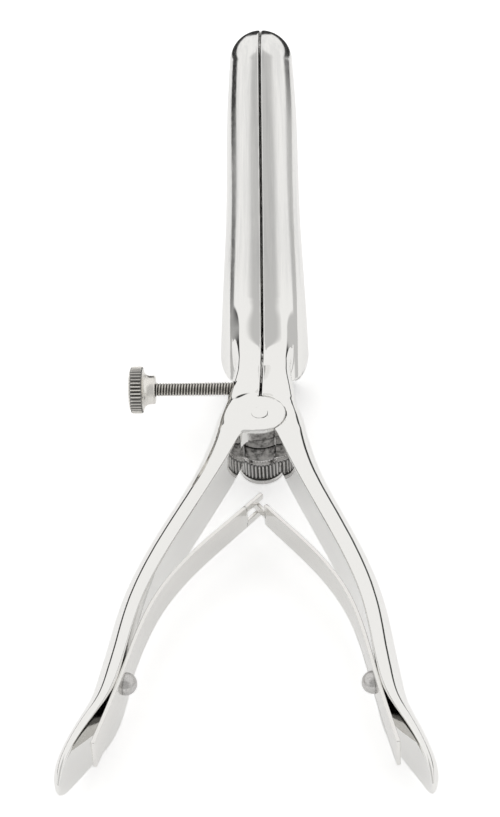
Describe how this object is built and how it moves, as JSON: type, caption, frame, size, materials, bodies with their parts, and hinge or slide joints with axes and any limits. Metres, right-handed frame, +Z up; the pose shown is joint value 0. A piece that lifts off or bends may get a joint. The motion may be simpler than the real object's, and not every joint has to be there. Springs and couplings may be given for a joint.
{
  "type": "anal speculum",
  "caption": "Spring-handled anal speculum with slim round blades, a side lock screw and a rear adjusting knob.",
  "frame": {"origin": "on the table under the pivot, at the centre of the rear knob's flat end", "axes": "+X to the right, +Y from the handles towards the blades, +Z up along the pivot"},
  "size_m": [0.0954, 0.225, 0.0842],
  "materials": {
    "polished_steel": "mirror polished stainless steel",
    "spring_steel": "polished spring steel",
    "satin_nickel": "satin, slightly warm",
    "turned_steel": "turned, bright"
  },
  "bodies": {
    "rear_blade": {"third_blade": "polished_steel", "retaining_pins": "turned_steel", "thrust_washer": "turned_steel"},
    "knob": {"adjusting_knob": "turned_steel"},
    "post": {"pivot_post": "polished_steel"},
    "left_side": {"left_lever": "polished_steel", "left_spring_rivet": "turned_steel"},
    "right_side": {"right_lever": "polished_steel", "right_spring_rivet": "turned_steel"},
    "left_spring": {"left_leaf_spring": "spring_steel"},
    "right_spring": {"right_leaf_spring": "spring_steel"},
    "lock_stem": {"lock_screw_stem": "satin_nickel"},
    "lock_head": {"lock_screw_head": "satin_nickel"}
  },
  "joints": [
    {"name": "knob_turn", "type": "hinge", "parent": "rear_blade", "child": "knob", "pos_m": [0, 0, 0], "axis": [0, 0, -1], "range_deg": [0, 2530]},
    {"name": "post_lift", "type": "slide", "parent": "rear_blade", "child": "post", "axis": [0, 0, 1], "range_m": [0, 0.0056]},
    {"name": "left_swing", "type": "hinge", "parent": "post", "child": "left_side", "pos_m": [0, 0, 0.0175], "axis": [0, 0, 1], "range_deg": [0, 16], "stiffness_Nm_per_rad": 3},
    {"name": "right_swing", "type": "hinge", "parent": "post", "child": "right_side", "pos_m": [0, 0, 0.0175], "axis": [0, 0, -1], "range_deg": [0, 16], "stiffness_Nm_per_rad": 3},
    {"name": "left_spring_flex", "type": "hinge", "parent": "left_side", "child": "left_spring", "pos_m": [-0.0319, -0.0929, 0.0126], "axis": [0, 0, 1], "range_deg": [0, 6.5], "deforming": ["left_leaf_spring"]},
    {"name": "right_spring_flex", "type": "hinge", "parent": "right_side", "child": "right_spring", "pos_m": [0.0319, -0.0929, 0.0126], "axis": [0, 0, -1], "range_deg": [0, 6.5], "deforming": ["right_leaf_spring"]},
    {"name": "lock_turn", "type": "hinge", "parent": "lock_stem", "child": "lock_head", "pos_m": [-0.0335, 0.0142, 0.0177], "axis": [-1, 0, 0], "range_deg": [0, 2890]},
    {"name": "lock_feed", "type": "slide", "parent": "left_side", "child": "lock_stem", "axis": [-1, 0, 0], "range_m": [0, 0.00635]}
  ],
  "couplings": [
    {"joint": "knob_turn", "follows": "post_lift", "rad_per_m": 7854},
    {"joint": "right_swing", "follows": "left_swing", "ratio": 1},
    {"joint": "left_spring_flex", "follows": "left_swing", "ratio": 0.395},
    {"joint": "right_spring_flex", "follows": "left_swing", "ratio": 0.395},
    {"joint": "lock_turn", "follows": "lock_feed", "rad_per_m": 7913.3}
  ]
}
